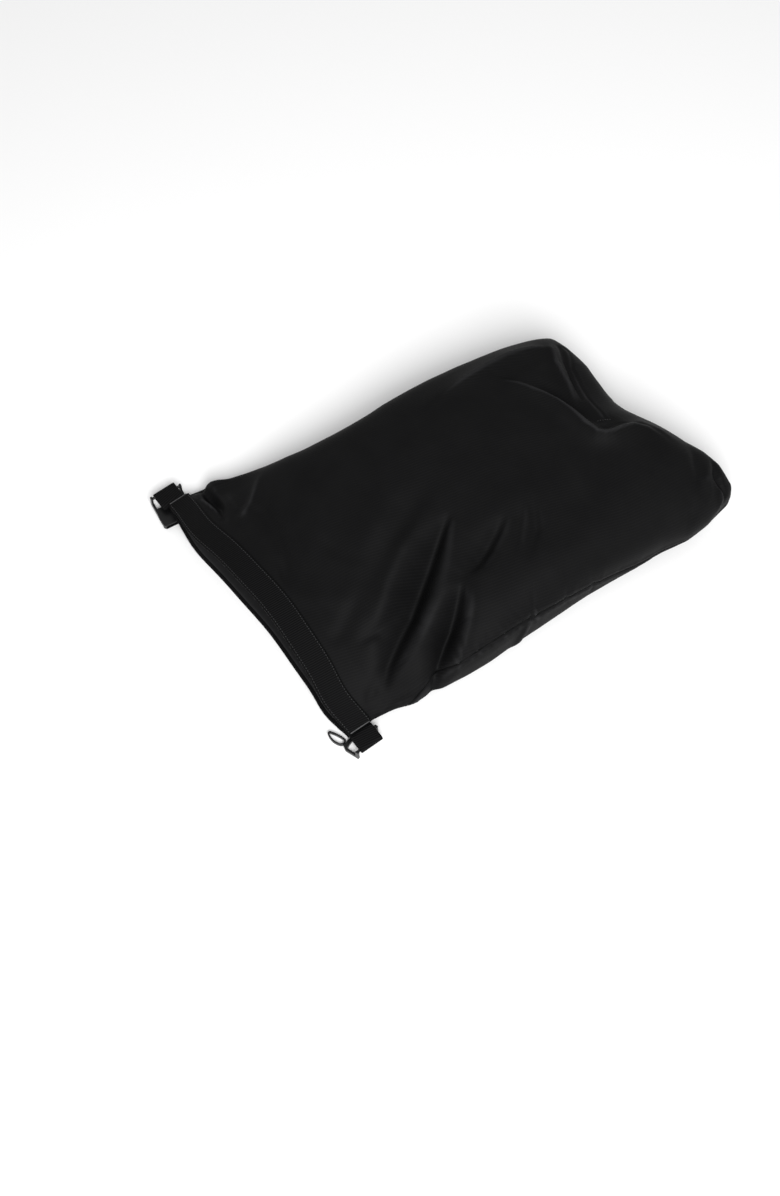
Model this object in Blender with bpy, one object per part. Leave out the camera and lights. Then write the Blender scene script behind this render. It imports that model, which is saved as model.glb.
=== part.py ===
"""A roll-top compression sack lying on its back, mouth open, in metres with +Z up.

+Y runs from the mouth to the sewn bottom and +X to the end of the mouth that carries the
male half of the buckle. The floor is z = 0, and the origin is under the middle of the sack.
The fabric pieces are thin shells on one shared surface, which surface_point() describes.
"""
import math

import bmesh
import bpy
import numpy as np
from mathutils import Matrix, Vector

MM = 0.001
FIT = 0.3 * MM                       # gap between pieces that touch

# Plan of the sack: corners of the mouth and of the bottom, as x and y
MOUTH_Y = -224 * MM
MOUTH_LEFT_X = -166 * MM
MOUTH_RIGHT_X = 146 * MM
BOTTOM_LEFT = Vector((-80 * MM, 198 * MM))
BOTTOM_RIGHT = Vector((183 * MM, 238 * MM))
LEFT_WAIST = 19 * MM                 # the left side is drawn in behind the mouth
RIGHT_BOW = 5 * MM                   # the right side bows out
RIGHT_BULGE = 10 * MM                # and bulges just behind the mouth
END_HOLLOW = 10 * MM                 # the bottom seam sinks in left of its middle
END_LEAN = 30 * MM                   # and the front leans back from it there

# Heights over the floor
MOUTH_CROWN = 44 * MM
BODY_CROWN = 95 * MM
MOUTH_SEAM_LEFT = 13.8 * MM          # the corners of the mouth rest on the folded buckle halves
MOUTH_SEAM_RIGHT = 11.8 * MM
BODY_SEAM_LEFT = 52 * MM
BODY_SEAM_RIGHT = 41 * MM
MOUTH_FLOOR_GAP = 1.9 * MM           # room under the mouth for the rear webbing
FLAT_DEPTH = 1.5 * MM                # how far the filled section would sink into the floor

# Fabric, webbing and tape
FABRIC = 1.0 * MM
WEBBING = 1.4 * MM
WEBBING_WIDTH = 25 * MM
STIFFENER = 0.8 * MM
TAPE = 0.5 * MM
SEAM_GAP = 0.4 * MM
TAB_STACK = 3.0 * MM                 # two layers of webbing sewn between the mouth's ends

# Where along the sack things happen: 0 is the mouth, 1 the bottom seam
NECK_FOLD = 0.17
FOLD_GAP = 0.0008                    # on each side of the fold
END_START = 0.86                     # the bottom starts to round over here
BAND_END = 0.058                     # inner edge of the mouth webbing
BAND_INSET = 0.007                   # from the webbing's edges to the stiffener's
END_ROWS = (0.17, 0.34, 0.50, 0.65, 0.80, 0.925, 1)

# Webbing loops and buckle halves
LOOP_REACH = 22 * MM                 # from the end of the mouth to the fold
LOOP_SLOT = 3.6 * MM                 # height of the slot around the bar
LOOP_START = 1.0 * MM                # from the end of the mouth to the free webbing
LOOP_SHOULDER = 4 * MM               # where the loop's two layers have spread apart
TAB_DEPTH = 9 * MM                   # how far the sewn tab reaches into the mouth
TAB_END = 0.4 * MM
TAB_HINGE = 0.6 * MM
TAB_ROOT_Y = -212 * MM
RIGHT_LOOP_Y = -212 * MM
LEFT_LOOP_Y = -217 * MM
BAR_RADIUS = 1.5 * MM
BUCKLE_HALF_WIDTH = 17.5 * MM
CHEEK = 2.5 * MM
POST_HALF_LENGTH = 2 * MM            # the posts that hold the bar, along the buckle
POST_DROP = 3.4 * MM                 # lowers the plate so that it clears the rear webbing
MALE_THICKNESS = 4.6 * MM
MALE_WINDOW = 13.0 * MM              # from the bar to the cross member
MALE_YAW = 20                        # degrees, the bar lies askew in its loop
MALE_SLIDE = 1.0 * MM                # and has slid towards the mouth's edge
CROSS_MEMBER = 4 * MM
GUIDE_LENGTH = 17 * MM               # the middle prong, past the cross member
GUIDE_HALF_WIDTH = 2.4 * MM
ARM_ROOT = 5.5 * MM                  # from the cross member's near side to the arms
ARM_HINGE_Y = 11.4 * MM
ARM_WALL = 1.6 * MM
ARM_HEIGHT = 4.2 * MM
ARM_COURSE = ((0, 8.6), (0, 14.2), (3.5, 15.8), (9.5, 16.2), (14.5, 14.6),
              (18.5, 12.0), (18.5, 10.2), (13.5, 9.0), (6.5, 8.4))      # mm, from its root
FEMALE_THICKNESS = 6.6 * MM
FEMALE_LENGTH = 32 * MM
FEMALE_WINDOW = 9 * MM               # from the bar to the socket's closed end
FEMALE_YAW = 8
SOCKET_START = 12 * MM
SOCKET_HEIGHT = 4.4 * MM
SIDE_WINDOW = (16 * MM, 26 * MM)     # where the release arms show, along the buckle
SIDE_WINDOW_Y = 10 * MM

COLUMNS = 12                         # over half the width
TAPE_PLACE = 0.9976                  # first column of the section, about 10 mm off the seam
END_TAPER = 0.07                     # the bottom seam is shorter than the sack is wide
FABRIC_COLOUR = (0.012, 0.012, 0.013)
WEBBING_COLOUR = (0.010, 0.010, 0.011)
TAPE_COLOUR = (0.022, 0.022, 0.024)
STIFFENER_COLOUR = (0.030, 0.030, 0.032)
BUCKLE_COLOUR = (0.008, 0.008, 0.009)


def clear_scene():
    for item in list(bpy.data.objects):
        bpy.data.objects.remove(item, do_unlink=True)


def material(name, colour, roughness):
    made = bpy.data.materials.new(name)
    made.use_nodes = True
    shader = made.node_tree.nodes["Principled BSDF"]
    shader.inputs["Base Color"].default_value = (*colour, 1)
    shader.inputs["Roughness"].default_value = roughness
    shader.inputs["Metallic"].default_value = 0.0
    return made


def blend(start, end, amount):
    return start + (end - start) * amount


def ease(value):
    """Smooth step from 0 to 1, held outside that range."""
    value = min(max(value, 0.0), 1.0)
    return value * value * (3 - 2 * value)


# ---------------------------------------------------------------- the sack's surface

def side_points(along):
    """Plan points of the left and right side seams at one station."""
    spread = max(along - BAND_END, 0) / (1 - BAND_END)
    start = ease(spread / 0.1)
    left_x = blend(MOUTH_LEFT_X, BOTTOM_LEFT.x, spread)
    left_x += LEFT_WAIST * math.exp(-((spread - 0.33) / 0.24) ** 2) * start
    right_x = blend(MOUTH_RIGHT_X, BOTTOM_RIGHT.x, spread)
    right_x += RIGHT_BOW * math.sin(math.pi * min(spread, 1))
    right_x += RIGHT_BULGE * math.exp(-((spread - 0.25) / 0.18) ** 2) * start
    return (Vector((left_x, blend(MOUTH_Y, BOTTOM_LEFT.y, along))),
            Vector((right_x, blend(MOUTH_Y, BOTTOM_RIGHT.y, along))))


def crown(along):
    """Height of the front layer along the middle of the sack."""
    return blend(MOUTH_CROWN, BODY_CROWN, 1 - math.exp(-(along / 0.28) ** 1.3))


def seam_heights(along):
    left = blend(MOUTH_SEAM_LEFT, BODY_SEAM_LEFT, ease((along - BAND_END) / 0.50))
    right = blend(MOUTH_SEAM_RIGHT, BODY_SEAM_RIGHT, ease((along - BAND_END) / 0.38))
    return left, right


def seam_gap(along):
    """Half the gap between the outer faces at the side seams.

    The tabs' sewn ends hold the mouth's corners open, and flat layers need their thickness.
    """
    stack = (TAB_STACK / 2 + FABRIC + FIT) * (1 - ease((along - BAND_END) / 0.06))
    return SEAM_GAP / 2 + max(stack, 1.1 * FABRIC * (1 - ease(along / 0.30)))


def section_powers(along):
    """Powers of the section: a flat lens at the mouth, a rounded box in the body."""
    fullness = ease(along / 0.30)
    return blend(1.0, 0.62, fullness), blend(2.0, 0.66, fullness), blend(2.8, 0.60, fullness)


def floor_height(along):
    return MOUTH_FLOOR_GAP * (1 - ease((along - BAND_END) / 0.08))


def back_depth(along, seam):
    """Drop from the seam to the underside, a little past the floor so that it lies flat."""
    return seam - floor_height(along) + FLAT_DEPTH * ease(along / 0.30)


def surface_point(along, across, is_front, rounding):
    """A point of the sack's outer face, on its front or its back.

    across is 1 at the right seam and -1 at the left one. rounding is 0 to 1 over the
    rounded bottom, where 1 is the bottom seam.
    """
    across_power, front_power, back_power = section_powers(along)
    quarter = rounding * math.pi / 2
    reach = math.sin(quarter) ** 0.85 if rounding > 0 else 0.0
    height_scale = math.cos(quarter) ** 0.75 if rounding < 1 else 0.0
    station = along + (1 - END_START) * reach
    left, right = side_points(station)
    offset = across * (1 - END_TAPER * (1 - math.cos(quarter)))
    plan = blend(left, right, (1 + offset) / 2)
    seam_left, seam_right = seam_heights(station)
    seam = blend(seam_left, seam_right, (1 + offset) / 2)
    fill = (1 - abs(across) ** (2 / across_power)) ** 0.5
    lift = seam_gap(along)
    if is_front:
        rise = (crown(along) - seam) * fill ** front_power * height_scale
        height = seam + rise + lift
    else:
        sink = back_depth(along, seam) * fill ** back_power * height_scale
        height = max(seam - sink - lift, floor_height(along))
    hollow = math.exp(-((offset + 0.30) / 0.42) ** 2) * ease((station - 0.68) / 0.28)
    lean = max(height - seam, 0) / (crown(along) - seam)
    plan.y -= hollow * (END_HOLLOW + END_LEAN * lean)
    return np.array((plan.x, plan.y, height))


def grid_normals(points):
    """Unit normals of a grid of points, by central differences."""
    along = np.gradient(points, axis=0)
    across = np.gradient(points, axis=1)
    normals = np.cross(across, along)
    return normals / np.linalg.norm(normals, axis=2, keepdims=True)


def edge_normals(points):
    """Level normals on the right-hand side of a line of points, as it is walked."""
    step = np.gradient(points, axis=0)
    normals = np.stack([step[:, 1], -step[:, 0], np.zeros(len(step))], axis=1)
    return normals / np.linalg.norm(normals, axis=1, keepdims=True)


def square_edge(normals):
    """Keeps the cut edge of a row of normals in its own upright plane."""
    normals[:, 1] = 0
    normals /= np.linalg.norm(normals, axis=1, keepdims=True)


def split_quad(quad, points):
    """Cuts a grid's quad along its shorter diagonal, so that parallel shells stay parallel."""
    a, b, c, d = quad
    first = np.linalg.norm(points[a] - points[c])
    second = np.linalg.norm(points[b] - points[d])
    return ((a, b, c), (a, c, d)) if first <= second else ((a, b, d), (b, c, d))


def shell_object(name, outer, inner, look):
    """A closed shell between two grids of points."""
    rows, columns = outer.shape[:2]
    verts = [tuple(p) for p in outer.reshape(-1, 3)] + [tuple(p) for p in inner.reshape(-1, 3)]
    shift = rows * columns

    def index(i, j, layer):
        return layer * shift + i * columns + j

    faces = []
    for i in range(rows - 1):
        for j in range(columns - 1):
            quad = [(i, j), (i, j + 1), (i + 1, j + 1), (i + 1, j)]
            for triangle in split_quad(quad, outer):
                faces.append([index(a, b, 0) for a, b in triangle])
                faces.append([index(a, b, 1) for a, b in reversed(triangle)])
    rim = [(0, j) for j in range(columns)]
    rim += [(i, columns - 1) for i in range(1, rows)]
    rim += [(rows - 1, j) for j in range(columns - 2, -1, -1)]
    rim += [(i, 0) for i in range(rows - 2, 0, -1)]
    for here, there in zip(rim, rim[1:] + rim[:1]):
        faces.append([index(*here, 0), index(*here, 1), index(*there, 1), index(*there, 0)])
    return mesh_object(name, verts, faces, look)


def mesh_object(name, verts, faces, look):
    mesh = bpy.data.meshes.new(name)
    mesh.from_pydata([tuple(v) for v in verts], [], faces)
    made = bpy.data.objects.new(name, mesh)
    bpy.context.scene.collection.objects.link(made)
    build = bmesh.new()
    build.from_mesh(mesh)
    if build.calc_volume(signed=True) < 0:
        bmesh.ops.reverse_faces(build, faces=build.faces)
    build.to_mesh(mesh)
    build.free()
    mesh.materials.append(look)
    mesh.shade_smooth()
    mesh.set_sharp_from_angle(angle=math.radians(40))
    return made


class Side:
    """The outer face of the front or the back as a grid of points and normals.

    Rows run from the mouth to the bottom seam, columns from the right seam to the left.
    """

    def __init__(self, is_front, stations, places):
        self.points = np.array([[surface_point(along, across, is_front, rounding)
                                 for across in places] for along, rounding in stations])
        upward = grid_normals(self.points)
        upward *= np.sign(upward[len(stations) // 2, len(places) // 2, 2])
        self.normals = upward if is_front else -upward
        square_edge(self.normals[0])
        if stations[-1][1] == 1:
            self.normals[-1] = edge_normals(self.points[-1])
        else:
            square_edge(self.normals[-1])
        self.normals[:, 0] = edge_normals(self.points[:, 0])
        self.normals[:, -1] = edge_normals(self.points[::-1, -1])[::-1]


def offset_shell(name, points, normals, near, far, look):
    """A shell between two distances from the sack's outer face, both measured outwards."""
    return shell_object(name, points + normals * near, points + normals * far, look)


def body_stations():
    straight = [(a, 0.0) for a in np.linspace(NECK_FOLD + FOLD_GAP, END_START, 12)]
    return straight + [(END_START, rounding) for rounding in END_ROWS]


def neck_stations():
    band = (0.0, BAND_INSET, BAND_END - BAND_INSET, BAND_END)
    behind = np.linspace(BAND_END, NECK_FOLD - FOLD_GAP, 5)[1:]
    return [(a, 0.0) for a in (*band, *behind)]


def columns():
    """Places from the right seam to the left one, closer together near the seams."""
    half = [1.0, TAPE_PLACE] + [1 - (1 - k / COLUMNS) ** 2 for k in range(COLUMNS - 1, 0, -1)]
    return [*half, 0.0, *(-place for place in reversed(half))]


def make_fabric(body, neck, look):
    for part, sides in (("panel", body), ("neck", neck)):
        for name, side in sides.items():
            offset_shell(name + "_" + part, side.points, side.normals, 0, -FABRIC, look)


def make_mouth_bands(neck, webbing, stiffener):
    """Webbing sewn round the outside of the mouth, and the stiffening strips inside it."""
    deep = -FABRIC - FIT
    for name, side in neck.items():
        strip = np.s_[0:4, 1:-1]
        offset_shell(name + "_mouth_webbing", side.points[strip], side.normals[strip],
                     FIT + WEBBING, FIT, webbing)
        strip = np.s_[1:3, 6:-6]
        offset_shell(name + "_stiffener", side.points[strip], side.normals[strip],
                     deep, deep - STIFFENER, stiffener)


# ---------------------------------------------------------------- tapes over the seams

def make_tapes(body, look):
    """Tapes sealed over the seams on the inside, half on the front and half on the back."""
    front, back = body["front"], body["back"]

    def tape(name, rows, front_columns, back_columns):
        points = np.concatenate([front.points[rows, front_columns],
                                 back.points[rows, back_columns]], axis=1)
        normals = np.concatenate([front.normals[rows, front_columns],
                                  back.normals[rows, back_columns]], axis=1)
        deep = -FABRIC - FIT
        offset_shell(name, points, normals, deep, deep - TAPE, look)

    straight = slice(1, 12)
    corner = slice(13, 16)
    tape("right_side_seam_tape", straight, slice(2, None, -1), slice(0, 3))
    tape("left_side_seam_tape", straight, slice(-3, None), slice(-1, -4, -1))
    tape("right_corner_tape", corner, slice(6, None, -1), slice(0, 7))
    tape("left_corner_tape", corner, slice(-7, None), slice(-1, -8, -1))
    across = slice(5, -5)
    rows = [np.concatenate([getattr(front, kind)[-2:, across], getattr(back, kind)[:-3:-1, across]])
            for kind in ("points", "normals")]
    deep = -FABRIC - FIT
    offset_shell("bottom_seam_tape", rows[0], rows[1], deep, deep - TAPE, look)


# ---------------------------------------------------------------- webbing loops

def loop_path(root_x, fold_x, centre_z, facing):
    """Centre line of a webbing loop in the x, z plane, from its lower to its upper root."""
    middle = (LOOP_SLOT + WEBBING) / 2
    pinch = (WEBBING + FIT) / 2
    turn_x = fold_x - facing * (middle + WEBBING / 2)
    shoulder = root_x + facing * LOOP_SHOULDER
    lower = [(root_x, -pinch), (blend(root_x, shoulder, 0.5), -blend(pinch, middle, 0.5)),
             (shoulder, -middle)]
    bend = [(turn_x + facing * middle * math.sin(a), -middle * math.cos(a))
            for a in np.linspace(0, math.pi, 11)]
    upper = [(x, -z) for x, z in reversed(lower)]
    return [Vector((x, 0, centre_z + z)) for x, z in lower + bend + upper]


def strip_along(name, path, thickness, low_y, high_y, look):
    """A flat strip of one thickness along a path in the x, z plane."""
    verts = []
    for k, point in enumerate(path):
        ahead = path[min(k + 1, len(path) - 1)] - path[max(k - 1, 0)]
        side = Vector((-ahead.z, 0, ahead.x)).normalized() * thickness / 2
        for y in (low_y, high_y):
            verts.append(point + side + Vector((0, y, 0)))
            verts.append(point - side + Vector((0, y, 0)))
    faces = [[0, 1, 3, 2]]
    for k in range(len(path) - 1):
        a, b = 4 * k, 4 * k + 4
        faces += [[a, b, b + 1, a + 1], [a + 2, a + 3, b + 3, b + 2],
                  [a, a + 2, b + 2, b], [a + 1, b + 1, b + 3, a + 3]]
    last = 4 * (len(path) - 1)
    faces.append([last, last + 2, last + 3, last + 1])
    return mesh_object(name, verts, faces, look)


def place_on_axis(item, axis_point):
    """Moves an object's origin onto a joint's axis without moving its shape."""
    item.data.transform(Matrix.Translation(-axis_point))
    item.location = axis_point


def make_loop(side, look):
    """One end of the mouth: the sewn tab root and the free loop that holds a buckle."""
    facing = 1 if side == "right" else -1
    root_x = MOUTH_RIGHT_X if side == "right" else MOUTH_LEFT_X
    centre_z = MOUTH_SEAM_RIGHT if side == "right" else MOUTH_SEAM_LEFT
    centre_y = RIGHT_LOOP_Y if side == "right" else LEFT_LOOP_Y
    half = WEBBING_WIDTH / 2
    start = root_x + facing * LOOP_START
    path = loop_path(start, root_x + facing * LOOP_REACH, centre_z, facing)
    loop = strip_along(side + "_webbing_loop", path, WEBBING, centre_y - half, centre_y + half, look)
    axis_z = centre_z + TAB_STACK / 2 + FABRIC + WEBBING + 3 * FIT
    place_on_axis(loop, Vector((root_x + facing * TAB_HINGE, centre_y, axis_z)))
    anchor_path = [Vector((root_x + facing * d, 0, centre_z)) for d in (-TAB_DEPTH, TAB_END)]
    strip_along(side + "_tab_root", anchor_path, TAB_STACK - FIT,
                TAB_ROOT_Y - half + FIT, TAB_ROOT_Y + half, look)
    return loop


# ---------------------------------------------------------------- buckle halves

def prism(name, outline, low, high):
    """An upright prism over a plan outline."""
    count = len(outline)
    verts = [(x, y, low) for x, y in outline] + [(x, y, high) for x, y in outline]
    faces = [list(range(count))[::-1], [count + k for k in range(count)]]
    faces += [[k, (k + 1) % count, count + (k + 1) % count, count + k] for k in range(count)]
    return mesh_object(name, verts, faces, material("cutter", (1, 0, 0), 1))


def box_outline(low_x, high_x, low_y, high_y):
    return [(low_x, low_y), (high_x, low_y), (high_x, high_y), (low_x, high_y)]


def round_outline(outline, radius, steps=4):
    """Rounds each corner of an outline with an arc."""
    points = []
    count = len(outline)
    for k, corner in enumerate(outline):
        here = Vector(corner)
        before = (Vector(outline[k - 1]) - here)
        after = (Vector(outline[(k + 1) % count]) - here)
        reach = min(radius, before.length * 0.45, after.length * 0.45)
        start = here + before.normalized() * reach
        end = here + after.normalized() * reach
        for step in range(steps + 1):
            t = step / steps
            points.append(tuple(start * (1 - t) ** 2 + here * 2 * t * (1 - t) + end * t ** 2))
    return points


def bar_cylinder(name, half_length):
    bpy.ops.mesh.primitive_cylinder_add(vertices=20, radius=BAR_RADIUS, depth=2 * half_length,
                                        rotation=(math.pi / 2, 0, 0))
    made = bpy.context.active_object
    made.name = name
    made.data.transform(made.matrix_basis)
    made.matrix_basis = Matrix.Identity(4)
    return made


def combine(target, tool, operation):
    """Applies a Boolean of one object to another and removes the tool."""
    step = target.modifiers.new(operation, "BOOLEAN")
    step.operation = operation
    step.solver = "EXACT"
    step.object = tool
    depsgraph = bpy.context.evaluated_depsgraph_get()
    result = bpy.data.meshes.new_from_object(target.evaluated_get(depsgraph))
    target.modifiers.clear()
    target.data = result
    bpy.data.objects.remove(tool, do_unlink=True)


def finish_plastic(item, look):
    """Gives a moulded piece its one material and smooth shading on its round parts."""
    item.data.materials.clear()
    item.data.materials.append(look)
    for face in item.data.polygons:
        face.material_index = 0
    item.data.shade_smooth()
    item.data.set_sharp_from_angle(angle=math.radians(35))


def buckle_frame(name, level, thickness, plate):
    """Bar, two posts and the plate that every buckle half starts from.

    Local axes: +X from the bar to the mating end, +Y along the bar, +Z up in the stored pose.
    """
    body = prism(name, plate, level - thickness / 2, level + thickness / 2)
    inner = BUCKLE_HALF_WIDTH - CHEEK
    shy = 0.1 * MM                   # keeps the posts' sides off the plate's
    for sign in (-1, 1):
        low, high = sorted((sign * (inner + shy), sign * (BUCKLE_HALF_WIDTH - shy)))
        outline = box_outline(shy - POST_HALF_LENGTH, POST_HALF_LENGTH, low, high)
        post = prism("post", round_outline(outline, 0.8 * MM), level, BAR_RADIUS + 0.5 * MM)
        combine(body, post, "UNION")
    combine(body, bar_cylinder("bar", inner + 1 * MM), "UNION")
    return body


def male_plate():
    """Plan of the male half: two cheeks, a cross member and the middle guide prong."""
    inner, outer = BUCKLE_HALF_WIDTH - CHEEK, BUCKLE_HALF_WIDTH
    back, cross_start, cross_end = -POST_HALF_LENGTH, MALE_WINDOW, MALE_WINDOW + CROSS_MEMBER
    tip = cross_end + GUIDE_LENGTH
    guide, point = GUIDE_HALF_WIDTH, 1.5 * MM
    outline = [(back, outer), (cross_start, outer), (cross_end, outer - 2.5 * MM),
               (cross_end, guide), (tip - 4 * MM, guide), (tip, point), (tip, -point),
               (tip - 4 * MM, -guide), (cross_end, -guide), (cross_end, -outer + 2.5 * MM),
               (cross_start, -outer), (back, -outer), (back, -inner),
               (cross_start, -inner), (cross_start, inner), (back, inner)]
    return outline[::-1]


def release_arm(name, sign, level, look):
    """One sprung arm of the male half: a closed loop with a bowed outer side."""
    course = [(MALE_WINDOW + ARM_ROOT + x * MM, sign * y * MM) for x, y in ARM_COURSE]
    course = round_outline(course, 2.5 * MM, 3)
    count = len(course)
    verts = []
    for k, point in enumerate(course):
        ahead = Vector(course[(k + 1) % count]) - Vector(course[k - 1])
        side = Vector((-ahead.y, ahead.x)).normalized() * ARM_WALL / 2
        for offset in (side, -side):
            for z in (level - ARM_HEIGHT / 2, level + ARM_HEIGHT / 2):
                verts.append((point[0] + offset.x, point[1] + offset.y, z))
    faces = []
    for k in range(count):
        a, b = 4 * k, 4 * ((k + 1) % count)
        faces += [[a, a + 1, b + 1, b], [a + 3, a + 2, b + 2, b + 3],
                  [a + 1, a + 3, b + 3, b + 1], [a + 2, a, b, b + 2]]
    return mesh_object(name, verts, faces, look)


def make_male_buckle(look):
    level = -(LOOP_SLOT / 2 + WEBBING + FIT + POST_DROP + MALE_THICKNESS / 2)
    body = buckle_frame("male_buckle", level, MALE_THICKNESS, male_plate())
    finish_plastic(body, look)
    arms = [release_arm("outer_release_arm", 1, level, look),
            release_arm("inner_release_arm", -1, level, look)]
    return body, arms, level


def make_female_buckle(look):
    """The socket half: a flat shell open at its mating end, with a window in each side."""
    level = -(LOOP_SLOT / 2 + WEBBING + FIT + POST_DROP + FEMALE_THICKNESS / 2)
    inner, outer = BUCKLE_HALF_WIDTH - CHEEK, BUCKLE_HALF_WIDTH
    back, end, chamfer = -POST_HALF_LENGTH, FEMALE_LENGTH, 2 * MM
    plate = [(back, -outer), (end - chamfer, -outer), (end, -outer + chamfer),
             (end, outer - chamfer), (end - chamfer, outer), (back, outer),
             (back, inner), (FEMALE_WINDOW, inner), (FEMALE_WINDOW, -inner), (back, -inner)]
    body = buckle_frame("female_buckle", level, FEMALE_THICKNESS, plate)
    spare = 1 * MM                   # cutters reach past the walls
    width = inner + 0.5 * MM
    slot = prism("slot", box_outline(SOCKET_START, end + spare, -width, width),
                 level - SOCKET_HEIGHT / 2, level + SOCKET_HEIGHT / 2)
    combine(body, slot, "DIFFERENCE")
    for sign in (-1, 1):
        low, high = sorted((sign * SIDE_WINDOW_Y, sign * (outer + spare)))
        window = prism("window", round_outline(box_outline(*SIDE_WINDOW, low, high), 2 * MM),
                       level - SOCKET_HEIGHT / 2, level + SOCKET_HEIGHT / 2)
        combine(body, window, "DIFFERENCE")
    finish_plastic(body, look)
    return body


def bar_position(side, yaw, slide):
    """Centre of the bar, far enough from the fold for the bar to lie askew."""
    facing = 1 if side == "right" else -1
    root_x = MOUTH_RIGHT_X if side == "right" else MOUTH_LEFT_X
    centre_z = MOUTH_SEAM_RIGHT if side == "right" else MOUTH_SEAM_LEFT
    centre_y = RIGHT_LOOP_Y if side == "right" else LEFT_LOOP_Y
    back = WEBBING + LOOP_SLOT / 2 + (WEBBING_WIDTH / 2 + slide) * math.tan(math.radians(yaw)) + FIT
    return Vector((root_x + facing * (LOOP_REACH - back), centre_y - slide, centre_z))


def place_buckles(look):
    """Folds each half back under its loop, turned a little towards the mouth side."""
    body, arms, level = make_male_buckle(look)
    centre = bar_position("right", MALE_YAW, MALE_SLIDE)
    turn = Matrix.Rotation(math.radians(180 + MALE_YAW), 4, "Z")
    body.matrix_basis = Matrix.Translation(centre) @ turn
    for arm, sign in zip(arms, (1, -1)):
        hinge = Vector((MALE_WINDOW + ARM_ROOT - FIT, sign * ARM_HINGE_Y, level))
        place_on_axis(arm, hinge)
        arm.parent = body
    socket = make_female_buckle(look)
    turn = Matrix.Rotation(math.radians(-FEMALE_YAW), 4, "Z")
    socket.matrix_basis = Matrix.Translation(bar_position("left", FEMALE_YAW, 0)) @ turn


def main():
    clear_scene()
    fabric = material("coated_fabric", FABRIC_COLOUR, 0.55)
    webbing = material("webbing", WEBBING_COLOUR, 0.75)
    tape = material("seam_tape", TAPE_COLOUR, 0.4)
    stiffener = material("stiffener_plastic", STIFFENER_COLOUR, 0.5)
    plastic = material("buckle_plastic", BUCKLE_COLOUR, 0.2)
    body = {name: Side(name == "front", body_stations(), columns())
            for name in ("front", "back")}
    neck = {name: Side(name == "front", neck_stations(), columns())
            for name in ("front", "back")}
    make_fabric(body, neck, fabric)
    make_mouth_bands(neck, webbing, stiffener)
    make_tapes(body, tape)
    for side in ("left", "right"):
        make_loop(side, webbing)
    place_buckles(plastic)


main()
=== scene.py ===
"""Looks of the compression sack: fabric with its folds, webbing, buckle halves, light, camera.

The fabric follows the same surface as the CAD shells, on a finer grid, and named folds move it.
Lengths are in metres. Folds, puckers and mouth waves are in millimetres. "along" runs from 0 at
the mouth to 1 at the far end, "across" from -1 to 1 between the side seams, and "rounding" from
0 to 1 over the end, down to the bottom seam.
"""

import math

import bmesh
import bpy
import numpy as np
from mathutils import Matrix, Vector


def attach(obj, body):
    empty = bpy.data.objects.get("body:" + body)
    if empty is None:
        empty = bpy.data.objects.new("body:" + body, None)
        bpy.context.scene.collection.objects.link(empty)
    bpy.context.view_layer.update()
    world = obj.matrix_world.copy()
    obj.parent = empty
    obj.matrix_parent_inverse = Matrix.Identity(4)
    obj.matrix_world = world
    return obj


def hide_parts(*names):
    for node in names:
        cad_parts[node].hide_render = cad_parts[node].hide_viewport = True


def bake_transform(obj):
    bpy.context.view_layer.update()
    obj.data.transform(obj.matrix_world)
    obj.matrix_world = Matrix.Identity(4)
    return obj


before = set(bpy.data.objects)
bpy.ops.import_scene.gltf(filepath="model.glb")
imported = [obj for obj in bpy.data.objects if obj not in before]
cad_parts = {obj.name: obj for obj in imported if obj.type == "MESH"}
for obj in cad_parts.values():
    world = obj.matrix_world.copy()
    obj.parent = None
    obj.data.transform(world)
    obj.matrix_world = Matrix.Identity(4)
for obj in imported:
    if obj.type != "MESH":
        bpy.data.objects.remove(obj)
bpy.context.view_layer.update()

MM = 0.001
FULL_TURN = 2 * math.pi
# The CAD surface, as in part.py
MOUTH_Y, MOUTH_LEFT_X, MOUTH_RIGHT_X = -224 * MM, -166 * MM, 146 * MM
BOTTOM_LEFT, BOTTOM_RIGHT = (-80 * MM, 198 * MM), (183 * MM, 238 * MM)
LEFT_WAIST, RIGHT_BOW, RIGHT_BULGE = 19 * MM, 5 * MM, 10 * MM
WAIST_PLACE, WAIST_WIDTH = 0.33, 0.24
BULGE_PLACE, BULGE_WIDTH = 0.25, 0.18
SIDES_BEND_OVER = 0.1
END_HOLLOW, END_LEAN = 10 * MM, 30 * MM
HOLLOW_PLACE, HOLLOW_WIDTH, HOLLOW_FROM, HOLLOW_OVER = -0.30, 0.42, 0.68, 0.28
MOUTH_CROWN, BODY_CROWN = 44 * MM, 95 * MM
MOUTH_SEAM_LEFT, MOUTH_SEAM_RIGHT = 13.8 * MM, 11.8 * MM
BODY_SEAM_LEFT, BODY_SEAM_RIGHT = 52 * MM, 41 * MM
SEAM_RISE_LEFT, SEAM_RISE_RIGHT, STACK_FADE, FLOOR_FADE = 0.50, 0.38, 0.06, 0.08
CROWN_RISE, CROWN_POWER = 0.28, 1.3
MOUTH_FLOOR_GAP, FLAT_DEPTH = 1.9 * MM, 1.5 * MM
CAD_FABRIC, FIT, SEAM_GAP, TAB_STACK = 1.0 * MM, 0.3 * MM, 0.4 * MM, 3.0 * MM
END_START, BAND_END, END_TAPER = 0.86, 0.058, 0.07
FULL_AT = 0.30  # the section is fully rounded from here on
ACROSS_POWER = (1.0, 0.62)  # shape of the section, at the mouth and where it is full
FRONT_POWER, BACK_POWER = (2.0, 0.66), (2.8, 0.60)
REACH_POWER, HEIGHT_POWER = 0.85, 0.75  # of the rounding over the end
# The mouth band isn't quite straight: x, half width and height of each wave along it
MOUTH_WAVES = ((-115, 32, -4.5), (5, 45, 3.2), (113, 26, -4.8))
WAVE_FADE = 0.10  # the waves are gone this far past the band
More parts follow.
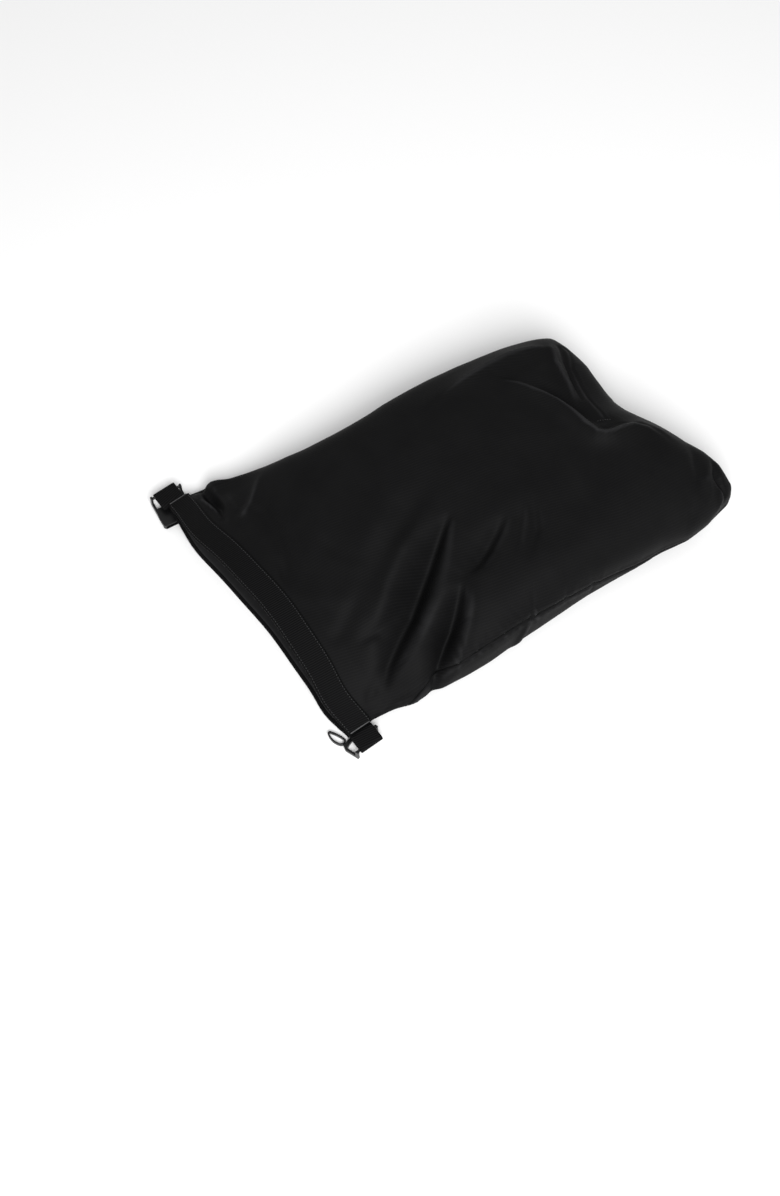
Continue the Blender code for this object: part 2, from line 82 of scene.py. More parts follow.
# The visual pieces
CLOTH = 0.5 * MM
WEBBING, WEBBING_WIDTH = 1.4 * MM, 25 * MM
BAND_REACH = 0.9976  # the band stops just short of the side seams
END_CROWDING, ROUNDED_ROWS = 1.25, 1.6  # of its points towards its ends, and over its edges
STIFFENER, STIFFENER_INSET = 0.8 * MM, 0.008
TAPE, TAPE_START = 0.25 * MM, 0.22  # the tapes start past the part that rolls
STITCH_RADIUS = 0.34 * MM
LOOP_REACH, LOOP_SLOT, LOOP_START, LOOP_SHOULDER = 22 * MM, 3.6 * MM, 1.0 * MM, 4 * MM
RIGHT_LOOP_Y, LEFT_LOOP_Y = -212 * MM, -217 * MM
TAB_DEPTH, TAB_END = 9 * MM, 0.4 * MM  # how far the sewn tab reaches in, and out
STITCHES_FROM, STITCHES_TO = (45, 157), (55, 171)  # x, y in mm, on the bottom seam
BUCKLE_VOXEL = 0.28 * MM


# ---------------- small helpers

def ease(value):
    """0 below 0, 1 above 1, and a smooth step between them."""
    value = np.clip(value, 0, 1)
    return value * value * (3 - 2 * value)


def bell(value, place, width):
    """1 at place, falling off smoothly to each side."""
    return np.exp(-((value - place) / width) ** 2)


def mix(start, end, amount):
    return start + (end - start) * amount


def unit(vectors):
    return vectors / np.maximum(np.linalg.norm(vectors, axis=-1, keepdims=True), 1e-12)


def run_along(line):
    """Distance of each point of a line from its start, along the line."""
    return np.concatenate([[0], np.cumsum(np.linalg.norm(np.diff(line, axis=0), axis=1))])


def length_of(line):
    return np.linalg.norm(np.diff(line, axis=0), axis=1).sum()


def read_line(places, run, line):
    """Values of a line of points or vectors at given places, where run is each point's place."""
    return np.stack([np.interp(places, run, line[:, k]) for k in range(3)], -1)


def add_object(name, data):
    made = bpy.data.objects.new(name, data)
    bpy.context.scene.collection.objects.link(made)
    return made


def mesh_piece(name, verts, faces, look, uvs=None, smooth=True):
    """A mesh object. uvs gives a point in metres for each vertex."""
    mesh = bpy.data.meshes.new(name)
    mesh.from_pydata([tuple(v) for v in verts], [], [tuple(f) for f in faces])
    if uvs is not None:
        layer = mesh.uv_layers.new(name="UVMap")
        index = np.empty(len(mesh.loops), int)
        mesh.loops.foreach_get("vertex_index", index)
        layer.data.foreach_set("uv", np.asarray(uvs, float)[index].astype(np.float32).ravel())
    if smooth:
        mesh.shade_smooth()
    mesh.materials.append(look)
    return add_object(name, mesh)


def face_out(piece):
    """Turns a closed mesh so that its faces point outwards."""
    build = bmesh.new()
    build.from_mesh(piece.data)
    if build.calc_volume(signed=True) < 0:
        bmesh.ops.reverse_faces(build, faces=build.faces)
        build.to_mesh(piece.data)
    build.free()
    return piece


def closed_sheet(name, outer, inner, look, uvs):
    """A closed mesh between two grids of points."""
    rows, columns = outer.shape[:2]
    index = np.arange(rows * columns).reshape(rows, columns)
    a, b, c, d = index[:-1, :-1], index[:-1, 1:], index[1:, 1:], index[1:, :-1]
    top = np.stack([a, b, c, d], -1).reshape(-1, 4)
    low = np.stack([a, d, c, b], -1).reshape(-1, 4) + rows * columns
    rim = np.concatenate([index[0], index[1:, -1], index[-1, -2::-1], index[-2:0:-1, 0]])
    ahead = np.roll(rim, -1)
    wall = np.stack([rim, rim + rows * columns, ahead + rows * columns, ahead], -1)
    verts = np.concatenate([outer.reshape(-1, 3), inner.reshape(-1, 3)])
    faces = np.concatenate([top, low, wall]).tolist()
    return face_out(mesh_piece(name, verts, faces, look, np.concatenate([uvs, uvs])))


def tube_faces(base, rings, count):
    """Faces of a closed tube, whose rings of count points start at vertex number base."""
    faces = [(base + count * k + j, base + count * k + (j + 1) % count,
              base + count * (k + 1) + (j + 1) % count, base + count * (k + 1) + j)
             for k in range(rings - 1) for j in range(count)]
    faces.append(tuple(base + j for j in reversed(range(count))))
    faces.append(tuple(base + count * (rings - 1) + j for j in range(count)))
    return faces


# ---------------- materials

class Nodes:
    """A material's node tree, with short ways to add and link nodes."""

    def __init__(self, name):
        self.material = bpy.data.materials.new(name)
        self.material.use_nodes = True
        self.tree = self.material.node_tree
        self.shader = self.tree.nodes["Principled BSDF"]

    def add(self, kind, settings=None, **inputs):
        node = self.tree.nodes.new(kind)
        for key, value in (settings or {}).items():
            setattr(node, key, value)
        for key, value in inputs.items():
            self.feed(node, key.replace("_", " "), value)
        return node

    def feed(self, node, socket, value):
        if isinstance(value, bpy.types.NodeSocket):
            self.tree.links.new(value, node.inputs[socket])
        else:
            node.inputs[socket].default_value = value

    def place(self, kind="Object"):
        return self.add("ShaderNodeTexCoord").outputs[kind]

    def noise(self, place, scale, detail, **inputs):
        return self.add("ShaderNodeTexNoise", Vector=place, Scale=scale, Detail=detail,
                        **inputs).outputs[0]

    def maths(self, operation, first, second=0.0, third=0.0):
        node = self.tree.nodes.new("ShaderNodeMath")
        node.operation = operation
        for k, value in enumerate((first, second, third)):
            self.feed(node, k, value)
        return node.outputs[0]

    def wave(self, value, length):
        """A sine wave of that length, over a value in metres."""
        return self.maths("SINE", self.maths("MULTIPLY", value, FULL_TURN / length))

    def ramp(self, factor, stops):
        node = self.tree.nodes.new("ShaderNodeValToRGB")
        elements = node.color_ramp.elements
        while len(elements) < len(stops):
            elements.new(0.5)
        for element, (place, colour) in zip(elements, stops):
            element.position = place
            element.color = (*colour, 1)
        self.feed(node, 0, factor)
        return node.outputs[0]

    def bump(self, height, strength, distance, below=None):
        node = self.add("ShaderNodeBump", Strength=strength, Distance=distance, Height=height)
        if below is not None:
            self.feed(node, "Normal", below)
        return node.outputs[0]

    def set(self, **inputs):
        for key, value in inputs.items():
            self.feed(self.shader, key.replace("_", " "), value)


def coated_fabric():
    """Black coated nylon: a fine weave with a heavier rib, faint creasing, a low sheen, and painted
    highlights on its crests.
    """
    n = Nodes("coated_fabric")
    uv = n.place("UV")
    place = n.place()
    split = n.add("ShaderNodeSeparateXYZ", Vector=uv)
    u, v = split.outputs[0], split.outputs[1]
    wobble = n.noise(place, 60.0, 2.0)
    u_bent = n.maths("MULTIPLY_ADD", wobble, 0.0006, u)
    threads, picks = n.wave(u_bent, 1.1 * MM), n.wave(v, 1.3 * MM)
    weave = n.maths("MULTIPLY", threads, picks)
    diagonal = n.maths("ADD", n.maths("MULTIPLY", u_bent, FULL_TURN / (3 * MM)),
                       n.maths("MULTIPLY", v, FULL_TURN / (22 * MM)))
    rib = n.maths("POWER", n.maths("MULTIPLY_ADD", n.maths("SINE", diagonal), 0.5, 0.5), 3.0)
    streaks = n.noise(place, 900.0, 1.0)
    cloud = n.noise(place, 24.0, 5.0, Roughness=0.6)
    fine = n.bump(n.maths("ADD", weave, n.maths("MULTIPLY", streaks, 0.8)), 0.16, 0.00006)
    ribbed = n.bump(rib, 0.35, 0.00014, fine)
    soft = n.bump(cloud, 0.18, 0.0012, ribbed)
    shade = n.maths("MULTIPLY_ADD", rib, 0.34, n.maths("MULTIPLY_ADD", cloud, 0.8, -0.04))
    colour = n.ramp(shade, ((0.25, (0.0038, 0.0038, 0.0040)), (0.62, (0.0054, 0.0054, 0.0056)),
                            (0.95, (0.0076, 0.0076, 0.0079))))
    # painted highlight: the colour is mixed lighter where the cloth stands proud at a crest
    crest_highlight = n.add("ShaderNodeAttribute", {"attribute_name": "crest_highlight"}).outputs["Fac"]
    highlight_share = n.maths("MULTIPLY", crest_highlight, n.maths("MULTIPLY_ADD", cloud, 0.7, 0.6))
    highlighted = n.add("ShaderNodeMix", {"data_type": "RGBA"})
    for socket, value in (("Factor", highlight_share), (6, colour), (7, (0.020, 0.020, 0.021, 1))):
        n.feed(highlighted, socket, value)
    roughness = n.maths("MULTIPLY_ADD", cloud, 0.12, 0.54)
    n.set(Base_Color=highlighted.outputs[2], Roughness=roughness, Normal=soft, Specular_IOR_Level=0.06)
    return n.material


def ribbed_webbing(name, lift):
    """Black webbing: ribs across the band, fine yarn along it, and shade painted darker into the
    grooves.
    """
    n = Nodes(name)
    uv = n.place("UV")
    place = n.place()
    split = n.add("ShaderNodeSeparateXYZ", Vector=uv)
    u, v = split.outputs[0], split.outputs[1]
    wobble = n.noise(place, 300.0, 2.0)
    course = n.maths("MULTIPLY_ADD", wobble, 0.0003, u)
    slant = n.maths("ADD", n.maths("MULTIPLY", course, FULL_TURN / (2.2 * MM)),
                    n.maths("MULTIPLY", v, FULL_TURN / (12 * MM)))
    rib = n.maths("MULTIPLY_ADD", n.maths("SINE", slant), 0.5, 0.5)
    yarn = n.maths("MULTIPLY_ADD", n.wave(v, 0.9 * MM), 0.5, 0.5)
    weave = n.maths("MULTIPLY", rib, n.maths("MULTIPLY_ADD", yarn, 0.5, 0.5))
    fuzz = n.noise(place, 1600.0, 2.0)
    relief = n.bump(n.maths("MULTIPLY_ADD", fuzz, 0.25, weave), 0.8, 0.00045)
    # painted shade: the colour runs almost to black in the grooves between the ribs
    dark, light = 0.0004 * lift, 0.0076 * lift
    colour = n.ramp(n.maths("MULTIPLY_ADD", fuzz, 0.3, n.maths("MULTIPLY", weave, 0.8)),
                    ((0.1, (dark,) * 3), (0.9, (light, light, light * 1.06))))
    n.set(Base_Color=colour, Roughness=0.62, Normal=relief, Specular_IOR_Level=0.06)
    return n.material


def moulded_plastic(name, colour, roughness):
    """Moulded plastic with a faint texture and handling wear."""
    n = Nodes(name)
    place = n.place()
    grain = n.noise(place, 2200.0, 2.0)
    smear = n.noise(place, 160.0, 4.0)
    relief = n.bump(grain, 0.08, 0.00005)
    tone = n.ramp(smear, ((0.3, colour), (0.75, tuple(c * 1.5 for c in colour))))
    n.set(Base_Color=tone, Normal=relief, Specular_IOR_Level=0.35,
          Roughness=n.maths("MULTIPLY_ADD", smear, 0.18, roughness))
    return n.material


def sewing_thread():
    """Polyester thread: twisted, a little lighter than the cloth."""
    n = Nodes("sewing_thread")
    place = n.place()
    twist = n.noise(place, 3000.0, 1.0)
    tone = n.ramp(twist, ((0.3, (0.010, 0.010, 0.011)), (0.7, (0.024, 0.024, 0.025))))
    n.set(Base_Color=tone, Roughness=0.5, Normal=n.bump(twist, 0.5, 0.0001))
    return n.material


def heat_cut():
    """The fused, shiny edge of cut webbing."""
    n = Nodes("heat_cut_edge")
    place = n.place()
    bead = n.noise(place, 700.0, 3.0)
    tone = n.ramp(bead, ((0.25, (0.030, 0.030, 0.030)), (0.75, (0.085, 0.085, 0.088))))
    n.set(Base_Color=tone, Roughness=0.4, Specular_IOR_Level=0.3, Normal=n.bump(bead, 0.5, 0.0003))
    return n.material


def sealing_film():
    """Heat-sealed tape on the inside of the seams."""
    n = Nodes("seam_tape")
    place = n.place()
    ripple = n.noise(place, 120.0, 4.0)
    tone = n.ramp(ripple, ((0.3, (0.010, 0.010, 0.011)), (0.8, (0.018, 0.018, 0.020))))
    n.set(Base_Color=tone, Normal=n.bump(ripple, 0.4, 0.0006),
          Roughness=n.maths("MULTIPLY_ADD", ripple, 0.2, 0.30))
    return n.material


FABRIC_LOOK = coated_fabric()
WEBBING_LOOK = ribbed_webbing("webbing", 1.0)
TAB_LOOK = ribbed_webbing("tab_webbing", 1.15)
BUCKLE_LOOK = moulded_plastic("buckle_plastic", (0.0025, 0.0025, 0.0028), 0.26)
STIFFENER_LOOK = moulded_plastic("stiffener_plastic", (0.005, 0.005, 0.0055), 0.6)
THREAD_LOOK = sewing_thread()
CUT_LOOK = heat_cut()
TAPE_LOOK = sealing_film()


# ---------------- the sack's surface

def side_points(along):
    """Plan points of the left and right side seams, as x and y arrays."""
    spread = np.maximum(along - BAND_END, 0) / (1 - BAND_END)
    start = ease(spread / SIDES_BEND_OVER)
    left_x = mix(MOUTH_LEFT_X, BOTTOM_LEFT[0], spread)
    left_x = left_x + LEFT_WAIST * bell(spread, WAIST_PLACE, WAIST_WIDTH) * start
    right_x = mix(MOUTH_RIGHT_X, BOTTOM_RIGHT[0], spread)
    right_x = right_x + RIGHT_BOW * np.sin(math.pi * np.minimum(spread, 1))
    right_x = right_x + RIGHT_BULGE * bell(spread, BULGE_PLACE, BULGE_WIDTH) * start
    return (left_x, mix(MOUTH_Y, BOTTOM_LEFT[1], along),
            right_x, mix(MOUTH_Y, BOTTOM_RIGHT[1], along))


def surface(along, across, is_front, rounding):
    """Points of the sack's outer face. The arguments are arrays that broadcast together."""
    fullness = ease(along / FULL_AT)
    across_power = mix(*ACROSS_POWER, fullness)
    quarter = rounding * math.pi / 2
    reach = np.sin(quarter) ** REACH_POWER
    height_scale = np.maximum(np.cos(quarter), 0) ** HEIGHT_POWER
    station = along + (1 - END_START) * reach
    left_x, left_y, right_x, right_y = side_points(station)
    offset = across * (1 - END_TAPER * (1 - np.cos(quarter)))
    share = (1 + offset) / 2
    x, y = mix(left_x, right_x, share), mix(left_y, right_y, share)
    seam_left = mix(MOUTH_SEAM_LEFT, BODY_SEAM_LEFT, ease((station - BAND_END) / SEAM_RISE_LEFT))
    seam_right = mix(MOUTH_SEAM_RIGHT, BODY_SEAM_RIGHT,
                     ease((station - BAND_END) / SEAM_RISE_RIGHT))
    seam = mix(seam_left, seam_right, share)
    fill = np.sqrt(np.maximum(1 - np.abs(across) ** (2 / across_power), 0))
    stack = (TAB_STACK / 2 + CAD_FABRIC + FIT) * (1 - ease((along - BAND_END) / STACK_FADE))
    lift = SEAM_GAP / 2 + np.maximum(stack, 1.1 * CAD_FABRIC * (1 - fullness))
    floor = MOUTH_FLOOR_GAP * (1 - ease((along - BAND_END) / FLOOR_FADE))
    crown = mix(MOUTH_CROWN, BODY_CROWN, 1 - np.exp(-(along / CROWN_RISE) ** CROWN_POWER))
    if is_front:
        power = mix(*FRONT_POWER, fullness)
        height = seam + (crown - seam) * fill ** power * height_scale + lift
    else:
        power = mix(*BACK_POWER, fullness)
        depth = seam - floor + FLAT_DEPTH * fullness
        height = np.maximum(seam - depth * fill ** power * height_scale - lift, floor)
    hollow = bell(offset, HOLLOW_PLACE, HOLLOW_WIDTH) * ease((station - HOLLOW_FROM) / HOLLOW_OVER)
    lean = np.maximum(height - seam, 0) / (crown - seam)
    y = y - hollow * (END_HOLLOW + END_LEAN * lean)
    wave = sum(tall * MM * bell(x / MM, place, width) for place, width, tall in MOUTH_WAVES)
    y = y + wave * (1 - ease((along - BAND_END) / WAVE_FADE))
    return np.stack([x, y, height], -1)


# Spacing of the fabric's points across a row: from, to and spacing, as shares of the row
FRONT_STEPS = ((0, 0.10, 0.0030), (0.10, 0.94, 0.0052), (0.94, 9, 0.0030))
BACK_STEPS = ((0, 0.06, 0.005), (0.06, 0.84, 0.011), (0.84, 9, 0.0045))
SECTION_POINTS = 1201  # on a section that is measured again for the moved seam
# How far the near side seam is moved up the side, in mm, by its y
SEAM_SHIFT_Y = (-250, -165, -140, -115, -80, -50, 0, 50, 83, 115, 190, 240)
SEAM_SHIFT = (0, 0, 12, 21, 23, 21, 16, 9, 0, -8, -8, 0)


def spaced(steps):
    """Places from 0 to 1, whose spacing follows (start, end, spacing) steps."""
    places = [0.0]
    while places[-1] < 1:
        here = places[-1]
        gap = next(g for start, end, g in steps if start <= here < end)
        places.append(here + gap)
    places = np.array(places)
    return places / places[-1]


def fabric_rows():
    """Rows from the mouth to the bottom seam, as along and rounding. They crowd at the neck."""
    straight = np.concatenate([np.linspace(0, 0.2, 58)[:-1], np.linspace(0.2, END_START, 172)])
    bend = np.linspace(0, 1, 64)[1:]
    return (np.concatenate([straight, np.full(len(bend), END_START)]),
            np.concatenate([np.zeros(len(straight)), bend]))


def fabric_sections():
    """Front and back lines of the sack's section at each row, on a very fine grid."""
    along, rounding = fabric_rows()
    t = np.linspace(-1, 1, 1601)
    across = np.sin(t * math.pi / 2)
    across = np.sign(across) * (1 - (1 - np.abs(across)) ** 1.5)
    a, r = along[:, None], rounding[:, None]
    front = surface(a, across[None, ::-1], True, r)
    back = surface(a, across[None, :], False, r)
    return along, rounding, front, back


def fabric_grid():
    """Front and back grids. The near side seam is moved up or down the side by SEAM_SHIFT."""
    along, rounding, front, back = fabric_sections()
    front_grid, back_grid = [], []
    front_shares, back_shares = spaced(FRONT_STEPS), spaced(BACK_STEPS)
    for k in range(len(along)):
        shift = np.interp(front[k, 0, 1] / MM, SEAM_SHIFT_Y, SEAM_SHIFT) * MM
        shift *= 1 - ease((rounding[k] - 0.2) / 0.8)
        loop = np.concatenate([back[k], front[k], back[k], front[k]])
        run = run_along(loop)
        n = len(back[k])
        start, left, end = run[n] + shift, run[2 * n - 1], run[3 * n - 1]
        front_line, back_line = front[k], back[k]
        if abs(shift) > 1e-9:
            places = np.linspace(start, left, SECTION_POINTS)
            front_line = read_line(places, run, loop)
            places = np.linspace(run[2 * n], end + shift, SECTION_POINTS)
            back_line = read_line(places, run, loop)
        for line, shares, grid in ((front_line, front_shares, front_grid),
                                   (back_line, back_shares, back_grid)):
            grid.append(read_line(shares * length_of(line), run_along(line), line))
    return along, np.array(front_grid), np.array(back_grid)


def grid_normals(points, like):
    """Unit normals of a grid, on the side of the vectors in like."""
    normals = unit(np.cross(np.gradient(points, axis=1), np.gradient(points, axis=0)))
    middle = normals[len(points) // 2, points.shape[1] // 2]
    return normals if middle @ np.array(like) > 0 else -normals


# ---------------- folds

# The line of the sharp crease near the far end: x, y, z
CREASE = ((-58, 104, 90), (-34, 118, 92), (-7, 131, 93), (8, 136, 93), (24, 139, 94),
          (38, 141, 94), (50, 143, 94), (60, 145, 94), (66, 150, 94), (69, 157, 94),
          (71, 167, 93), (74, 179, 90), (84, 190, 88), (98, 197, 86))


def on_crease(widths, heights):
    """A fold's points along that line."""
    return tuple((*point, *size) for point, size in zip(CREASE, zip(widths, heights)))


# Each fold: name, how it leans, and its points as x, y, z, half width, height.
# A height below 0 is a valley. A lean above 0 makes the side on the right of the line steeper.
FOLDS = (
    ("valley_a", -0.25, (
        (41, -24, 87, 4, -1), (48, -38, 86, 6, -8), (58, -55, 84, 10, -16),
        (71, -76, 80, 13, -23), (84, -97, 75, 14, -26), (99, -120, 68, 13, -25),
        (111, -142, 56, 11, -18), (122, -160, 42, 7, -10), (132, -171, 29, 5, -2))),
    ("ridge_left_of_a", 0, (
        (20, -24, 87, 8, 0.5), (30, -54, 83, 10, 3), (42, -84, 79, 11, 4),
        (60, -112, 72, 11, 4), (78, -136, 64, 10, 3), (94, -158, 50, 8, 1))),
    ("ridge_right_of_a", 0, (
        (54, -28, 86, 5, 1), (67, -43, 85, 7, 2), (83, -60, 82, 9, 3), (98, -80, 79, 10, 3),
        (111, -100, 74, 10, 3), (122, -123, 66, 9, 2), (129, -145, 52, 7, 2),
        (134, -159, 38, 5, 0.5))),
    ("valley_b", -0.25, (
        (107, -60, 80, 4, -2), (116, -71, 77, 7, -11), (127, -84, 73, 10, -18),
        (137, -98, 67, 11, -22), (145, -110, 60, 11, -21), (152, -119, 50, 9, -17),
        (157, -127, 38, 7, -12), (162, -133, 22, 5, -6))),
    ("ridge_right_of_b", 0, (
        (119, -55, 81, 5, 1), (129, -64, 77, 6, 2.5), (140, -77, 73, 7, 4),
        (150, -90, 68, 7, 4), (159, -101, 60, 7, 3.5), (165, -110, 50, 6, 2),
        (168, -117, 34, 5, 0.5))),
    ("valley_b_upper", -0.3, (
        (76, 16, 90, 5, -1), (84, 0, 88, 7, -8), (92, -18, 86, 9, -11), (98, -34, 85, 9, -9),
        (100, -51, 82, 8, -2))),
    ("valley_d", -0.2, (
        (73, 52, 92, 4, -0.5), (90, 42, 91, 5, -3.5), (106, 32, 89, 6, -5),
        (117, 18, 87, 6, -3.5), (127, 6, 84, 5, -0.3))),
    ("valley_d_side", -0.2, (
        (73, 38, 91, 4, -0.3), (85, 27, 90, 5, -3), (104, 8, 88, 5, -2.5),
        (117, -9, 85, 5, -0.3))),
    ("hollow_between", 0, (
        (108, -66, 79, 12, -1), (102, -52, 82, 14, -3), (92, -38, 84, 12, -1))),
    ("soft_ridge_1", 0, (
        (-20, -20, 88, 14, 0.5), (-10, -54, 84, 17, 3), (4, -88, 79, 16, 4),
        (22, -122, 71, 13, 1))),
    ("soft_valley_1", 0, (
        (-2, -10, 88, 12, -0.3), (14, -54, 84, 15, -3), (32, -92, 77, 14, -3.5),
        (46, -124, 70, 11, -1))),
    ("fold_v", 0, (
        (24, -118, 72, 7, -0.3), (10, -130, 70, 8, -2), (-8, -135, 69, 9, -2),
        (-26, -136, 69, 8, -0.3))),
    ("neck_broad", 0.2, (
        (-96, -166, 50, 7, -1), (-85, -162, 54, 9, -4), (-69, -163, 57, 11, -6),
        (-52, -167, 58, 11, -6), (-35, -173, 58, 10, -5), (-20, -181, 56, 8, -4),
        (-4, -193, 54, 6, -1))),
    ("neck_ridge_a", 0.3, (
        (-122, -141, 48, 4, 1), (-113, -152, 49, 4.5, 3.5), (-104, -163, 48, 4.5, 4.5),
        (-98, -174, 47, 4.5, 3.5), (-95, -186, 45, 4, 0.5))),
    ("neck_arc", 0, (
        (-163, -196, 18, 3, -2), (-159, -187, 19, 3.6, -8), (-150, -186, 24, 4.6, -11),
        (-137, -188, 31, 5, -11), (-126, -190, 35, 5, -9), (-114, -193, 39, 5, -5),
        (-102, -197, 42, 5, -1))),
    ("neck_arc_upper", 0, (
        (-140, -172, 30, 5, 0.5), (-124, -174, 38, 6, 3), (-108, -176, 43, 6, 2.5),
        (-90, -176, 49, 6, 0.4))),
    ("neck_band_ridge", 0, (
        (-146, -195, 27, 3, 2), (-136, -193, 31, 3, 6), (-127, -192, 34, 3, 6),
        (-114, -194, 38, 3, 3))),
    ("neck_puff", 0, (
        (-160, -196, 15, 6, 6), (-155, -182, 18, 8, 11), (-148, -166, 24, 9, 8),
        (-141, -144, 31, 11, 3), (-136, -124, 36, 12, 0.5))),
    ("neck_top_crest", 0, (
        (-158, -183, 19, 3, 1), (-154, -177, 21, 3, 2.5), (-150, -171, 24, 3, 2.5),
        (-146, -163, 27, 3, 0.8))),
    ("end_fill", 0, (
        (-70, 195, 46, 14, 1), (-50, 194, 50, 18, 6), (-26, 187, 52, 20, 12),
        (0, 181, 54, 20, 12), (26, 179, 56, 18, 8), (48, 184, 58, 14, 2))),
    ("neck_mid", 0, (
        (2, -200, 54, 6, 0.2), (28, -174, 58, 9, 1.6), (54, -148, 64, 9, 0.2))),
    ("neck_mid_low", 0, (
        (70, -196, 50, 6, -0.3), (68, -176, 55, 9, -3), (58, -154, 62, 9, -2.5),
        (48, -136, 67, 8, -0.3))),
    ("neck_low", 0.2, (
        (87, -168, 52, 6, -1), (90, -151, 57, 8, -5), (88, -134, 65, 9, -4),
        (84, -116, 70, 8, -1))),
    ("low_crest", 0, (
        (150, -172, 16, 3, 0.6), (153, -163, 17, 4, 2.5), (156, -152, 20, 4, 3),
        (157, -142, 27, 4, 1))),
    ("low_groove", 0, (
        (147, -177, 18, 3, -0.5), (149, -166, 22, 3, -1.4), (152, -156, 25, 3, -1.6),
        (155, -146, 28, 3, -0.5))),
    ("under_ridge", 0, (
        (170, -44, 22, 3, 0.5), (172, -37, 32, 4, 3), (171, -30, 44, 3.5, 3),
        (169, -24, 54, 3, 0.5))),
    ("corner_fill_side", 0, (
        (176, 138, 45, 20, 1), (180, 168, 46, 22, 7), (181, 192, 48, 18, 6),
        (180, 215, 52, 12, 2))),
    ("corner_fill_end", 0, (
        (108, 224, 66, 14, 1), (128, 229, 64, 16, 5), (148, 232, 62, 14, 6),
        (166, 234, 58, 10, 2))),
    ("neck_corner_1", 0, (
        (136, -200, 18, 4, -0.3), (128, -184, 27, 5, -1.8), (118, -166, 40, 6, -0.4))),
    ("neck_corner_2", 0, (
        (146, -200, 13, 4, 0.4), (147, -184, 18, 5, 2.2), (149, -166, 25, 6, 2.4),
        (152, -148, 31, 6, 0.4))),
    ("top_left_ridge", 0.25, (
        (-62, -2, 87, 12, 0.3), (-70, 40, 88, 10, 3), (-72, 76, 88, 8, 5),
        (-72, 110, 88, 8, 5.5), (-70, 136, 87, 8, 5), (-64, 160, 85, 7, 3.5),
        (-56, 176, 80, 6, 0.8))),
    ("top_left_crest", 0, (
        (-71, 52, 88, 3.0, 0.2), (-72, 80, 88, 3.0, 1.4), (-72, 108, 88, 3.0, 1.8),
        (-70, 134, 87, 3.0, 1.8), (-65, 156, 85, 2.8, 1.2), (-58, 172, 81, 2.6, 0.2))),
    ("crease_crest", -0.3, on_crease(
        (4, 3.6, 3.6, 3.6, 3.6, 3.6, 3.6, 3.6, 3.6, 3.6, 3.6, 3.6, 3.6, 3),
        (0.1, 1, 2, 2.6, 3, 3.2, 3.2, 3.2, 3.2, 3, 2.6, 1.8, 0.8, 0.1))),
    ("side_crest", 0, (
        (-52, 178, 79, 2.6, 0.3), (-36, 169, 84, 2.6, 1.3), (-22, 165, 85, 2.6, 1.3),
        (-6, 162, 85, 2.4, 0.9), (8, 158, 87, 2.4, 0.2))),
    ("left_of_crease", 0, (
        (-48, 92, 91, 12, -0.5), (-52, 124, 90, 12, -3), (-48, 150, 88, 10, -3),
        (-40, 168, 84, 8, -0.8))),
    ("front_crease", -0.55, on_crease(
        (6, 7, 8, 8, 8, 8, 8, 7.5, 7.5, 7.5, 7, 7, 7, 7),
        (0.5, 4, 6.5, 7.5, 8, 8.3, 8.5, 8.5, 8.2, 7.8, 7, 5.5, 3.2, 0.8))),
    ("behind_crease", 0, (
        (-36, 134, 90, 8, -1), (-8, 143, 91, 10, -5), (24, 152, 91, 9, -6.5),
        (46, 157, 90, 7, -4.5), (57, 168, 88, 5, -1))),
    ("side_crease", 0.45, (
        (-54, 178, 79, 5, 2), (-34, 168, 84, 5, 4), (-11, 163, 84, 5, 4), (8, 158, 86, 5, 2.5),
        (22, 155, 88, 5, 0.4))),
    ("side_groove", 0, (
        (-52, 190, 72, 4, -2), (-32, 180, 77, 4, -3.5), (-10, 171, 80, 3.5, -3.5),
        (14, 164, 84, 3, -2))),
    ("bottom_seam_groove", 0, (
        (-53, 193, 67, 1.6, -0.6), (-46, 193, 66, 1.6, -1.0), (-22, 181, 75, 1.6, -1.5),
        (1, 174, 78, 1.6, -1.6), (17, 171, 81, 1.6, -1.6), (35, 169, 85, 1.6, -1.4),
        (50, 167, 91, 1.6, -0.8))),
    ("ear", 0.2, (
        (62, 172, 92, 4, 0.5), (74, 192, 88, 5, 2.5), (90, 203, 85, 5, 2),
        (106, 208, 84, 5, 0.4))),
    ("broad_top_1", 0, (
        (-44, 6, 88, 26, 0.3), (-22, 56, 92, 30, 2.2), (10, 96, 94, 30, 2.2),
        (48, 128, 94, 24, 0.5))),
    ("broad_valley", 0, (
        (92, 128, 93, 18, -0.3), (106, 88, 91, 24, -3), (110, 50, 89, 22, -2.4),
        (106, 16, 88, 16, -0.3))),
    ("broad_top_2", 0, (
        (152, 124, 84, 16, 0.3), (148, 74, 84, 20, 2.5), (144, 20, 82, 20, 2.5),
        (142, -36, 78, 16, 0.3))),
    ("far_corner_1", 0.2, (
        (120, 220, 78, 5, -0.3), (140, 208, 82, 6, -3), (156, 198, 79, 6, -3),
        (172, 188, 74, 5, -0.3))),
    ("far_corner_2", 0, (
        (146, 218, 76, 4, 0.4), (158, 208, 77, 5, 2.8), (172, 200, 70, 5, 1))),
    ("far_corner_3", 0, (
        (162, 184, 77, 5, -0.3), (173, 173, 68, 5, -2.2), (178, 164, 55, 5, -0.3))),
    ("far_notch", 0, (
        (140, 228, 70, 3, -0.5), (152, 226, 72, 4, -6), (161, 221, 72, 4, -8),
        (170, 219, 68, 3, -6), (177, 218, 60, 3, -2))),
    ("far_tip", 0, (
        (164, 222, 71, 3, 0.5), (172, 218, 67, 3, 2.5), (179, 212, 60, 3, 2.5),
        (182, 205, 52, 3, 0.5))),
)
CRISP_WIDTH = 4.2  # folds up to this half width stay sharp
SOFTENING = 4  # rounds of smoothing over the wider ones
FOLD_REACH = 3.2  # half widths: a fold adds nothing further away
LEANING_POWER, UPRIGHT_POWER = 1.5, 2  # of the fold's profile
